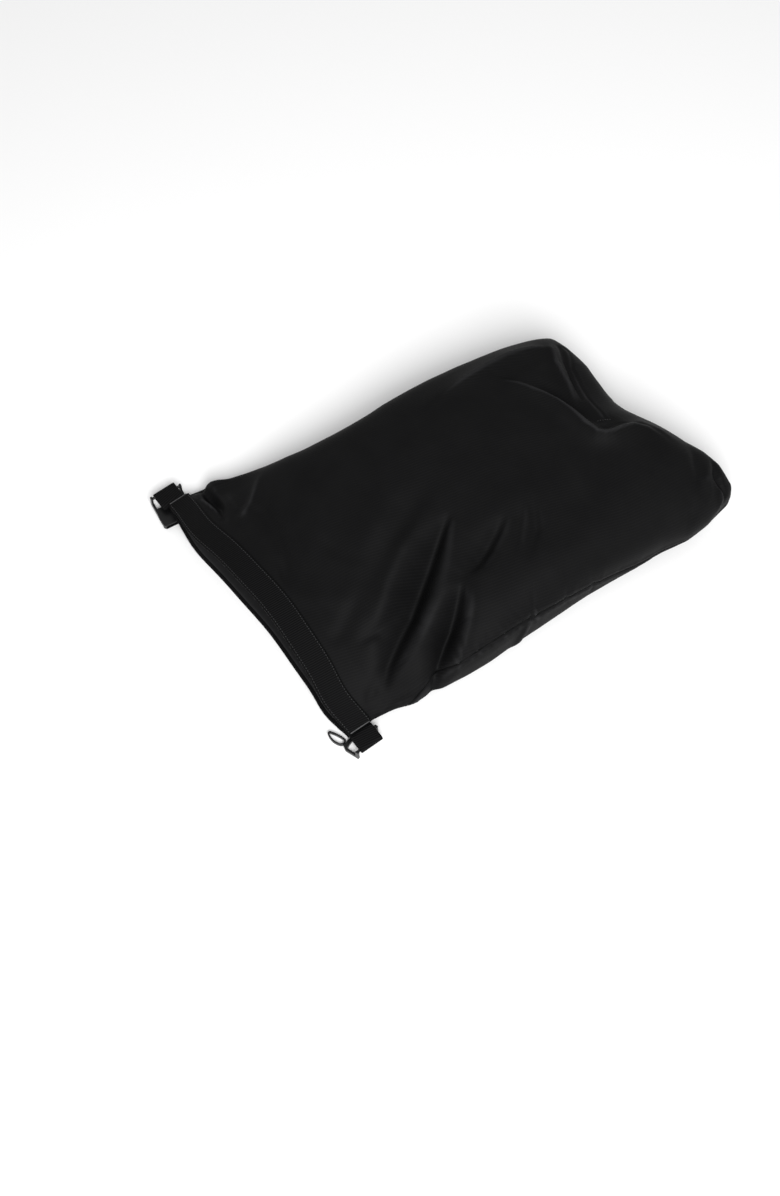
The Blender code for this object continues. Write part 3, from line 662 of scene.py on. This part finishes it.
SWELLS = ((3, 0.085, 0.55 * MM), (8, 0.028, 0.12 * MM))  # seed, wavelength and height
SWELL_WAVES = 14
FOLDS_FROM, FOLDS_FADE = 0.001, 0.026  # past the band: where the folds begin, and are full
SEAM_FADE = 16 * MM  # how far from a seam the sewn cloths move together
TAB_INNER_END, CLOSING = 0.054, 0.007  # along: the tabs end here, and the cloths meet over this
SEWN_SHUT = 0.95  # share of the gap between the cloths that the seam shuts
SEAM_PROFILE = ((-0.9, 0, 1.6), (0.4, 5, 2.6))  # mm: height, distance and half width
HIGHLIGHT_FROM, HIGHLIGHT_OVER = 0.16, 0.9  # mm that a crest stands proud of its neighbours, for the painted highlight
# The far right corner: its direction, how far it reaches, and how softly it is blunted
TIP_DIRECTION, TIP_REACH, TIP_SOFTNESS = np.array((0.62, 0.78, 0.0)), 0.283, 6 * MM
# Puckers that run off the near side seam: y of the foot, length, half width, height
PUCKERS = ((-104, 14, 2.8, 0.6), (-96, 20, 2.6, -0.8), (-84, 9, 2.2, 0.5), (-70, 12, 3.0, -0.5),
           (-52, 14, 2.6, 0.5), (-38, 12, 2.2, -0.5), (-30, 15, 2.4, -0.7), (-21, 17, 2.0, -1.3),
           (-15, 13, 1.8, 0.7), (-8, 9, 1.7, -0.6), (8, 9, 2.2, 0.5), (20, 16, 1.9, -1.2),
           (27, 12, 1.8, 0.6), (36, 8, 1.8, -0.5), (55, 18, 2.2, -1.3), (63, 13, 1.9, 0.7),
           (82, 9, 2.4, -0.5), (104, 12, 3.0, 0.4), (132, 11, 3.0, -0.4))


def fold_height(points, fold, lean):
    """Height that one fold adds at each point."""
    fold = np.array(fold, float) * MM
    line, width, height = fold[:, :3], fold[:, 3], fold[:, 4]
    added = np.zeros(len(points))
    reach = FOLD_REACH * width.max()
    near = np.all((points > line.min(0) - reach) & (points < line.max(0) + reach), axis=1)
    if not near.any():
        return added
    here = points[near]
    start, step = line[:-1], np.diff(line, axis=0)
    size = (step ** 2).sum(1)
    share = np.clip(((here[:, None] - start) * step).sum(2) / size, 0, 1)
    away = here[:, None] - (start + share[:, :, None] * step)
    distance = np.linalg.norm(away, axis=2)
    nearest = distance.argmin(1)
    pick = np.arange(len(here))
    share, away, distance = share[pick, nearest], away[pick, nearest], distance[pick, nearest]
    across = step[nearest, 1] * away[:, 0] - step[nearest, 0] * away[:, 1]
    wide = mix(width[nearest], width[nearest + 1], share)
    tall = mix(height[nearest], height[nearest + 1], share)
    wide = wide * (1 - lean * np.tanh(across / np.sqrt(size[nearest]) / (0.5 * wide)))
    power = LEANING_POWER if lean else UPRIGHT_POWER
    added[near] = tall * np.exp(-(distance / wide) ** power)
    return added


def undulation(points, seed, wavelength, height):
    """A smooth random swell, the same on every run."""
    draw = np.random.default_rng(seed)
    total = np.zeros(len(points))
    for _ in range(SWELL_WAVES):
        direction = unit(draw.normal(size=3))
        total += np.sin(points @ direction * FULL_TURN / (wavelength * draw.uniform(0.7, 1.5))
                        + draw.uniform(0, FULL_TURN))
    return total * height / SWELL_WAVES ** 0.5


def smoothed(field, rounds):
    """A grid of numbers with each one averaged with its neighbours, a few times over."""
    for _ in range(rounds):
        edge = np.pad(field, 1, mode="edge")
        field = (4 * field + edge[2:, 1:-1] + edge[:-2, 1:-1]
                 + edge[1:-1, 2:] + edge[1:-1, :-2]) / 8
    return field


def move_fabric(points, normals, along, from_seam, near_seam_y):
    """Moves a grid of points by the folds, and leaves the mouth band in place."""
    shape = points.shape[:2]
    flat = points.reshape(-1, 3)
    broad = sum(undulation(flat, *swell) for swell in SWELLS)
    crisp = np.zeros(len(flat))
    for _, lean, fold in FOLDS:
        layer = broad if max(row[3] for row in fold) > CRISP_WIDTH else crisp
        layer += fold_height(flat, fold, lean)
    height = smoothed(broad.reshape(shape), SOFTENING) + crisp.reshape(shape)
    seam = from_seam / MM
    for y, length, width, tall in PUCKERS:
        fade = np.exp(-(np.maximum(seam, 0) / length) ** 2) * ease(seam / 1.5 + 0.2)
        slant = 0.15 + 0.45 * math.sin(1.7 * y)  # each runs up the side its own way
        height += tall * MM * fade * np.exp(-((near_seam_y / MM - y - slant * seam) / width) ** 2)
    height += seam_groove(from_seam)
    points = round_tip(points)
    height *= ease((along[:, None] - BAND_END - FOLDS_FROM) / FOLDS_FADE)
    return points + normals * height[..., None]


def share_along(line):
    """Distance along a line of points, as a share of its whole length."""
    run = run_along(line)
    return run / run[-1]


def sew_edges(along, front, back, front_moved, back_moved):
    """Joins the cloths at their sewn edges. In the mouth band the tabs stay between them.

    The bottom edges get the same movement first. Each pair of side edges, which are the front's
    first column with the back's last one and the other way round, then meets in the middle.
    """
    shifts = [front_moved - front, back_moved - back]
    grids = [front, back]
    front_places, back_places = share_along(front[-1]), 1 - share_along(back[-1])
    other = read_line(front_places, back_places[::-1], shifts[1][-1, ::-1])
    middle = (shifts[0][-1] + other) / 2
    wanted = [middle, read_line(back_places, front_places, middle)]
    for grid, shift, edge in zip(grids, shifts, wanted):
        step = np.linalg.norm(np.diff(grid, axis=0), axis=2)
        away = np.concatenate([np.cumsum(step[::-1], axis=0)[::-1], np.zeros((1, grid.shape[1]))])
        shift += (edge - shift[-1])[None] * (1 - ease(away / SEAM_FADE))[..., None]
    closed = SEWN_SHUT * ease((along - TAB_INNER_END) / CLOSING)[:, None]
    for columns in ((0, -1), (-1, 0)):
        middle = (shifts[0][:, columns[0]] + shifts[1][:, columns[1]]) / 2
        centre = (front[:, columns[0]] + back[:, columns[1]]) / 2
        for grid, shift, column in zip(grids, shifts, columns):
            away = seam_distance(grid, column)[0]
            gap = middle + closed * (centre - grid[:, column]) - shift[:, column]
            shift += gap[:, None] * (1 - ease(away / SEAM_FADE))[..., None]
    return front + shifts[0], back + shifts[1]


def grid_uvs(grid):
    """Flat-pattern coordinates in metres: distance across the cloth and distance along it."""
    across = np.linalg.norm(np.diff(grid, axis=1), axis=2)
    across = np.concatenate([np.zeros((len(grid), 1)), np.cumsum(across, axis=1)], axis=1)
    across -= across[:, across.shape[1] // 2][:, None]
    down = run_along(grid[:, grid.shape[1] // 2])[:, None] + 0 * across
    return np.stack([across, down], -1).reshape(-1, 2)


def seam_distance(grid, column):
    """Distance of each point from one edge column, along its row, and that edge's y."""
    step = np.linalg.norm(np.diff(grid, axis=1), axis=2)
    run = np.concatenate([np.zeros((len(grid), 1)), np.cumsum(step, axis=1)], axis=1)
    return np.abs(run - run[:, column][:, None]), grid[:, column, 1][:, None] + 0 * run


def round_tip(points):
    """Blunts the far right corner, where the cloth is folded in."""
    past = np.maximum(points @ TIP_DIRECTION - TIP_REACH, 0)
    back = past - TIP_SOFTNESS * np.tanh(past / TIP_SOFTNESS)
    return points - back[..., None] * TIP_DIRECTION


def seam_groove(distance):
    """Height beside a sewn seam: a groove at the stitches and a soft roll next to it."""
    return sum(tall * bell(distance / MM, place, width) for tall, place, width in SEAM_PROFILE) * MM


def crest_highlight_of(points, normals):
    """Painted highlight: 0 to 1 where the cloth bends sharply outwards, from how far points stand
    proud.
    """
    around = points.copy()
    around[2:-2, 2:-2] = (points[:-4, 2:-2] + points[4:, 2:-2]
                          + points[2:-2, :-4] + points[2:-2, 4:]) / 4
    proud = ((points - around) * normals).sum(-1) / MM
    return ease((proud - HIGHLIGHT_FROM) / HIGHLIGHT_OVER)


def tape_shell(name, points, normals, node):
    """Sealing tape just inside the cloth."""
    outer = points - normals * (CLOTH + FIT)
    piece = closed_sheet(name, outer, outer - normals * TAPE, TAPE_LOOK, grid_uvs(points))
    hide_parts(node)
    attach(piece, "sack")


def make_tapes(made, along):
    """Tapes over the side seams and the bottom seam, half on the front and half on the back."""
    front, front_normals = made["front_fabric"][1:]
    back, back_normals = made["back_fabric"][1:]
    bend = int(np.flatnonzero(along >= END_START)[0])
    straight = slice(int(np.flatnonzero(along > TAPE_START)[0]), bend + 2)
    corner = slice(bend + 8, len(along) - 14)
    # Columns from each seam inwards on the front, and on from it on the back
    for name, rows, front_columns, back_columns in (
            ("right_side", straight, slice(10, 0, -1), slice(-2, -9, -1)),
            ("left_side", straight, slice(-9, -1), slice(1, 7)),
            ("right_corner", corner, slice(16, 0, -1), slice(-2, -11, -1)),
            ("left_corner", corner, slice(-12, -1), slice(1, 10))):
        points, normals = (
            np.concatenate([ahead[rows, front_columns], behind[rows, back_columns]], axis=1)
            for ahead, behind in ((front, back), (front_normals, back_normals)))
        node = name + ("_seam_tape" if "side" in name else "_tape")
        tape_shell(name + "_film", points, normals, node)
    share = np.linspace(0.08, 0.92, 120)
    strips = []
    for lines in (front[-7:-1], front_normals[-7:-1],
                  back[-2:-8:-1, ::-1], back_normals[-2:-8:-1, ::-1]):
        spots = share * (lines.shape[1] - 1)
        low = spots.astype(int)
        part = (spots - low)[None, :, None]
        strips.append(lines[:, low] * (1 - part) + lines[:, low + 1] * part)
    tape_shell("bottom_film", np.concatenate([strips[0], strips[2]]),
               unit(np.concatenate([strips[1], strips[3]])), "bottom_seam_tape")


def make_fabric():
    """The two cloths, each over a panel and its neck, as pieces with their points and normals."""
    along, front, back = fabric_grid()
    up, down = (0, 0, 1), (0, 0, -1)
    front_moved = move_fabric(front, grid_normals(front, up), along, *seam_distance(front, 0))
    back_moved = move_fabric(back, grid_normals(back, down), along, *seam_distance(back, -1))
    front_moved, back_moved = sew_edges(along, front, back, front_moved, back_moved)
    back_moved[..., 2] = np.maximum(back_moved[..., 2], 0)
    made = {}
    for name, grid, moved, like, nodes in (
            ("front_fabric", front, front_moved, up, ("front_panel", "front_neck")),
            ("back_fabric", back, back_moved, down, ("back_panel", "back_neck"))):
        skin = grid_normals(moved, like)
        piece = closed_sheet(name, moved, moved - skin * CLOTH, FABRIC_LOOK, grid_uvs(grid))
        # the painted highlight on the sharp crests, read by the fabric's colour
        crest_highlight = crest_highlight_of(moved, skin).ravel()
        layer = piece.data.attributes.new("crest_highlight", "FLOAT", "POINT")
        layer.data.foreach_set("value", np.concatenate([crest_highlight, 0 * crest_highlight]).astype(np.float32))
        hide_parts(*nodes)
        made[name] = (piece, moved, skin)
    make_tapes(made, along)
    return made


# ---------------- mouth webbing and its stitches

def band_grid(is_front, near, far, columns=150, rows=17):
    """A grid over the mouth band on the sack's surface, and normals square to the y axis."""
    along = np.linspace(near, far, rows)
    across = np.sin(np.linspace(1, -1, columns) * math.pi / 2)
    across = BAND_REACH * np.sign(across) * (1 - (1 - np.abs(across)) ** END_CROWDING)
    points = surface(along[:, None], across[None, :], is_front, 0 * along[:, None])
    normals = grid_normals(points, (0, 0, 1 if is_front else -1))
    normals[..., 1] = 0
    return points, unit(normals)


def band_solid(name, is_front, near, far, low, high, look):
    """A flat band with rounded long edges over the mouth, between two heights off the surface."""
    points, normals = band_grid(is_front, near, far)
    rows, columns = points.shape[:2]
    edge = np.minimum(np.arange(rows), np.arange(rows)[::-1]) / ROUNDED_ROWS
    pinch = (1 - np.sqrt(1 - np.clip(1 - edge, 0, 1) ** 2))[:, None, None] * 0.5
    middle, half = (low + high) / 2, (high - low) / 2
    outer = points + normals * (middle + half * (1 - pinch))
    inner = points + normals * (middle - half * (1 - pinch))
    u = run_along(points[rows // 2])[None, :] + np.zeros((rows, 1))
    v = np.linspace(0, WEBBING_WIDTH, rows)[:, None] + 0 * u
    return closed_sheet(name, outer, inner, look, np.stack([u, v], -1).reshape(-1, 2))


STITCH_SWELL = (0.35, 0.9, 1.0, 0.9, 0.35)  # radius at points along a stitch, as a share


def stitch_rows(name, lines, pitch, length):
    """Stitches as short sunk capsules along lines, each a pair of points and normals."""
    verts, faces = [], []
    ring = [(math.cos(t), math.sin(t)) for t in np.linspace(0, FULL_TURN, 7)[:-1]]
    for points, normals in lines:
        run = run_along(points)
        for start in np.arange(0.4 * pitch, run[-1] - pitch, pitch):
            spots = start + np.linspace(0, length, len(STITCH_SWELL))
            line = read_line(spots, run, points)
            up = unit(read_line(spots, run, normals))
            side = unit(np.cross(unit(line[-1] - line[0]), up))
            faces += tube_faces(len(verts), len(STITCH_SWELL), len(ring))
            for k, swell in enumerate(STITCH_SWELL):
                centre = line[k] + up[k] * STITCH_RADIUS * (0.55 * swell - 0.35)
                radius = STITCH_RADIUS * swell
                verts += [centre + (side[k] * x + up[k] * z) * radius for x, z in ring]
    return mesh_piece(name, verts, faces, THREAD_LOOK)


def cut_edges(name):
    """The bright fused ends of the front webbing, as a bead across each end."""
    points, normals = band_grid(True, 0.0, BAND_END, rows=13)
    half_width, half_height = 0.6 * MM, 0.35 * MM
    turns = np.linspace(0, FULL_TURN, 9)[:-1]
    verts, faces = [], []
    for column, outward in ((1, 1), (-2, -1)):
        line = points[1:-1, column] + normals[1:-1, column] * (FIT + WEBBING - 0.05 * MM)
        line = line + np.array((outward * 0.5 * MM, 0, 0))
        faces += tube_faces(len(verts), len(line), len(turns))
        for point, normal in zip(line, normals[1:-1, column]):
            for turn in turns:
                side = np.array((normal[2], 0, -normal[0])) * math.cos(turn) * half_width
                verts.append(point + side + normal * math.sin(turn) * half_height)
    bead = face_out(mesh_piece(name, verts, faces, CUT_LOOK))
    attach(bead, "mouth")


def bottom_stitches(moved, skin):
    """The few stitches that show in the crease, where the bottom seam passes under it."""
    flat, up = moved.reshape(-1, 3), skin.reshape(-1, 3)
    nearest = [np.hypot(flat[:, 0] - x, flat[:, 1] - y).argmin()
               for x, y in np.linspace(STITCHES_FROM, STITCHES_TO, 12) * MM]
    thread = stitch_rows("bottom_seam_stitches", [(flat[nearest], up[nearest])],
                         pitch=2.6 * MM, length=1.7 * MM)
    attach(thread, "sack")


def make_mouth():
    """Webbing, stitches and stiffeners round the mouth."""
    cut_edges("webbing_cut_ends")
    for name, is_front in (("front", True), ("back", False)):
        band = band_solid(name + "_webbing", is_front, 0.0, BAND_END,
                          FIT, FIT + WEBBING, WEBBING_LOOK)
        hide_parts(name + "_mouth_webbing")
        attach(band, "mouth")
        points, normals = band_grid(is_front, 0.0, BAND_END, rows=15)
        lines = [(points[k, 1:-1] + normals[k, 1:-1] * (FIT + WEBBING), normals[k, 1:-1])
                 for k in (1, 13)]
        thread = stitch_rows(name + "_band_stitches", lines, pitch=3.1 * MM, length=2.0 * MM)
        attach(thread, "mouth")
        strip = band_solid(name + "_rim_stiffener", is_front,
                           STIFFENER_INSET, BAND_END - STIFFENER_INSET,
                           -CAD_FABRIC - FIT - STIFFENER, -CAD_FABRIC - FIT, STIFFENER_LOOK)
        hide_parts(name + "_stiffener")
        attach(strip, "mouth")


# ---------------- webbing loops

def loop_line(root_x, fold_x, centre_z, facing):
    """Centre line of a webbing loop in the x, z plane, as in the CAD, with finer bends."""
    middle, pinch = (LOOP_SLOT + WEBBING) / 2, (WEBBING + FIT) / 2
    turn_x = fold_x - facing * (middle + WEBBING / 2)
    shoulder = root_x + facing * LOOP_SHOULDER
    lower = [(mix(root_x, shoulder, s), -mix(pinch, middle, ease(s)))
             for s in np.linspace(0, 1, 9)]
    lower += [(mix(shoulder, turn_x, s), -middle) for s in np.linspace(0, 1, 8)[1:-1]]
    bend = [(turn_x + facing * middle * math.sin(a), -middle * math.cos(a))
            for a in np.linspace(0, math.pi, 25)]
    upper = [(x, -z) for x, z in reversed(lower)]
    return np.array([(x, 0, centre_z + z) for x, z in lower + bend + upper])


def strap(name, line, centre_y, width=WEBBING_WIDTH):
    """Webbing with rounded edges along a line in the x, z plane."""
    half, thick = width / 2, WEBBING / 2
    edge = [(-half + thick * (1 - math.cos(a)), thick * math.sin(a))
            for a in np.linspace(0, math.pi / 2, 5)]
    flat = [(y, thick) for y in np.linspace(-half + thick, half - thick, 9)[1:-1]]
    top = edge + flat + [(-y, z) for y, z in reversed(edge)]
    section = top + [(y, -z) for y, z in reversed(top[1:-1])]
    ahead = unit(np.gradient(line, axis=0))
    side = np.stack([-ahead[:, 2], 0 * ahead[:, 0], ahead[:, 0]], -1)
    run = run_along(line)
    verts, uvs = [], []
    for k, point in enumerate(line):
        for y, z in section:
            verts.append(point + side[k] * z + np.array((0, centre_y + y, 0)))
            uvs.append((run[k], y + half))
    faces = tube_faces(0, len(line), len(section))
    return face_out(mesh_piece(name, verts, faces, TAB_LOOK, uvs))


def make_loops():
    """The two tabs: a loop of webbing, and its flat sewn end between the mouth's layers."""
    for side, root_x, facing, z, y in (
            ("right", MOUTH_RIGHT_X, 1, MOUTH_SEAM_RIGHT, RIGHT_LOOP_Y),
            ("left", MOUTH_LEFT_X, -1, MOUTH_SEAM_LEFT, LEFT_LOOP_Y)):
        line = loop_line(root_x + facing * LOOP_START, root_x + facing * LOOP_REACH, z, facing)
        loop = strap(side + "_loop", line, y)
        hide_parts(side + "_webbing_loop")
        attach(loop, side + "_loop")
        root = np.array([(root_x + facing * out, 0, z)
                         for out in np.linspace(-TAB_DEPTH, TAB_END, 6)])
        sewn = strap(side + "_sewn_tab", root, RIGHT_LOOP_Y, WEBBING_WIDTH - FIT)
        sewn.data.transform(Matrix.Translation((0, 0, -z)))
        sewn.data.transform(Matrix.Diagonal((1, 1, (TAB_STACK - FIT) / WEBBING, 1)))
        sewn.data.transform(Matrix.Translation((0, 0, z)))
        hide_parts(side + "_tab_root")
        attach(sewn, "mouth")


# ---------------- buckle halves

def moulded(node, name, body):
    """A rounded copy of a CAD plastic node that stands for it."""
    piece = add_object(name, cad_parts[node].data.copy())
    piece.data.materials.clear()
    piece.data.materials.append(BUCKLE_LOOK)
    remesh = piece.modifiers.new("remesh", "REMESH")
    remesh.mode = "VOXEL"
    remesh.voxel_size = BUCKLE_VOXEL
    smooth = piece.modifiers.new("smooth", "SMOOTH")
    smooth.factor, smooth.iterations = 0.5, 5
    depsgraph = bpy.context.evaluated_depsgraph_get()
    piece.data = bpy.data.meshes.new_from_object(piece.evaluated_get(depsgraph))
    piece.modifiers.clear()
    piece.data.shade_smooth()
    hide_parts(node)
    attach(piece, body)


def make_buckles():
    for node, name in (("male_buckle", "male_half"), ("outer_release_arm", "outer_arm"),
                       ("inner_release_arm", "inner_arm"), ("female_buckle", "female_half")):
        moulded(node, name, body=name)


# ---------------- stage, light, camera

KEY_PLACE, KEY_TARGET, KEY_SIDE, KEY_WATTS = (1.2, -0.65, 1.55), (0.05, 0, 0), 1.0, 40
WORLD_STRENGTH = 0.60
FLOOR_HALF, FLOOR_GAP = 6, 0.2 * MM
# The camera stands off from AIM, looks at it, and then moves right and up without turning
AZIMUTH, ELEVATION, DISTANCE = math.radians(53.4), math.radians(63.5), 1.944
AIM, MOVED_RIGHT, MOVED_UP = Vector((0.048, -0.025, 0.0324)), -0.062, -0.053
FOCAL_LENGTH, SENSOR_WIDTH = 58.5, 36


def face_along(made, direction):
    """Turns a light or a camera to look along a direction."""
    made.rotation_mode = "QUATERNION"
    made.rotation_quaternion = direction.to_track_quat("-Z", "Y")


def make_light():
    light = bpy.data.lights.new("key", "AREA")
    light.size = KEY_SIDE
    light.energy = KEY_WATTS
    key = add_object("key", light)
    key.location = KEY_PLACE
    face_along(key, Vector(KEY_TARGET) - Vector(KEY_PLACE))


def make_stage():
    n = Nodes("pale_floor")
    n.set(Base_Color=(0.97, 0.97, 0.97, 1), Roughness=0.9, Specular_IOR_Level=0.1)
    corners = [(x * FLOOR_HALF, y * FLOOR_HALF, 0)
               for x, y in ((-1, -1), (1, -1), (1, 1), (-1, 1))]
    floor = mesh_piece("floor", corners, [(0, 1, 2, 3)], n.material, smooth=False)
    floor.location.z = -FLOOR_GAP
    world = bpy.data.worlds.new("studio")
    world.use_nodes = True
    background = world.node_tree.nodes["Background"]
    background.inputs["Color"].default_value = (1, 1, 1, 1)
    background.inputs["Strength"].default_value = WORLD_STRENGTH
    bpy.context.scene.world = world
    make_light()
    bpy.context.scene.view_settings.view_transform = "Standard"
    bpy.context.scene.view_settings.look = "None"


def make_camera():
    """Looks down on the sack from its mouth's right side."""
    back = Vector((math.sin(AZIMUTH) * math.cos(ELEVATION),
                   -math.cos(AZIMUTH) * math.cos(ELEVATION), math.sin(ELEVATION)))
    right = Vector((math.cos(AZIMUTH), math.sin(AZIMUTH), 0))
    up = back.cross(right)
    lens = bpy.data.cameras.new("camera")
    lens.lens, lens.sensor_width = FOCAL_LENGTH, SENSOR_WIDTH
    lens.clip_start, lens.clip_end = 0.05, 40
    camera = add_object("camera", lens)
    camera.location = AIM + back * DISTANCE + right * MOVED_RIGHT + up * MOVED_UP
    face_along(camera, -back)
    bpy.context.scene.camera = camera


def main():
    make_camera()
    make_stage()
    fabric = make_fabric()
    bottom_stitches(*fabric["front_fabric"][1:])
    make_mouth()
    make_loops()
    make_buckles()
    for name in ("front_fabric", "back_fabric"):
        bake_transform(fabric[name][0])


main()
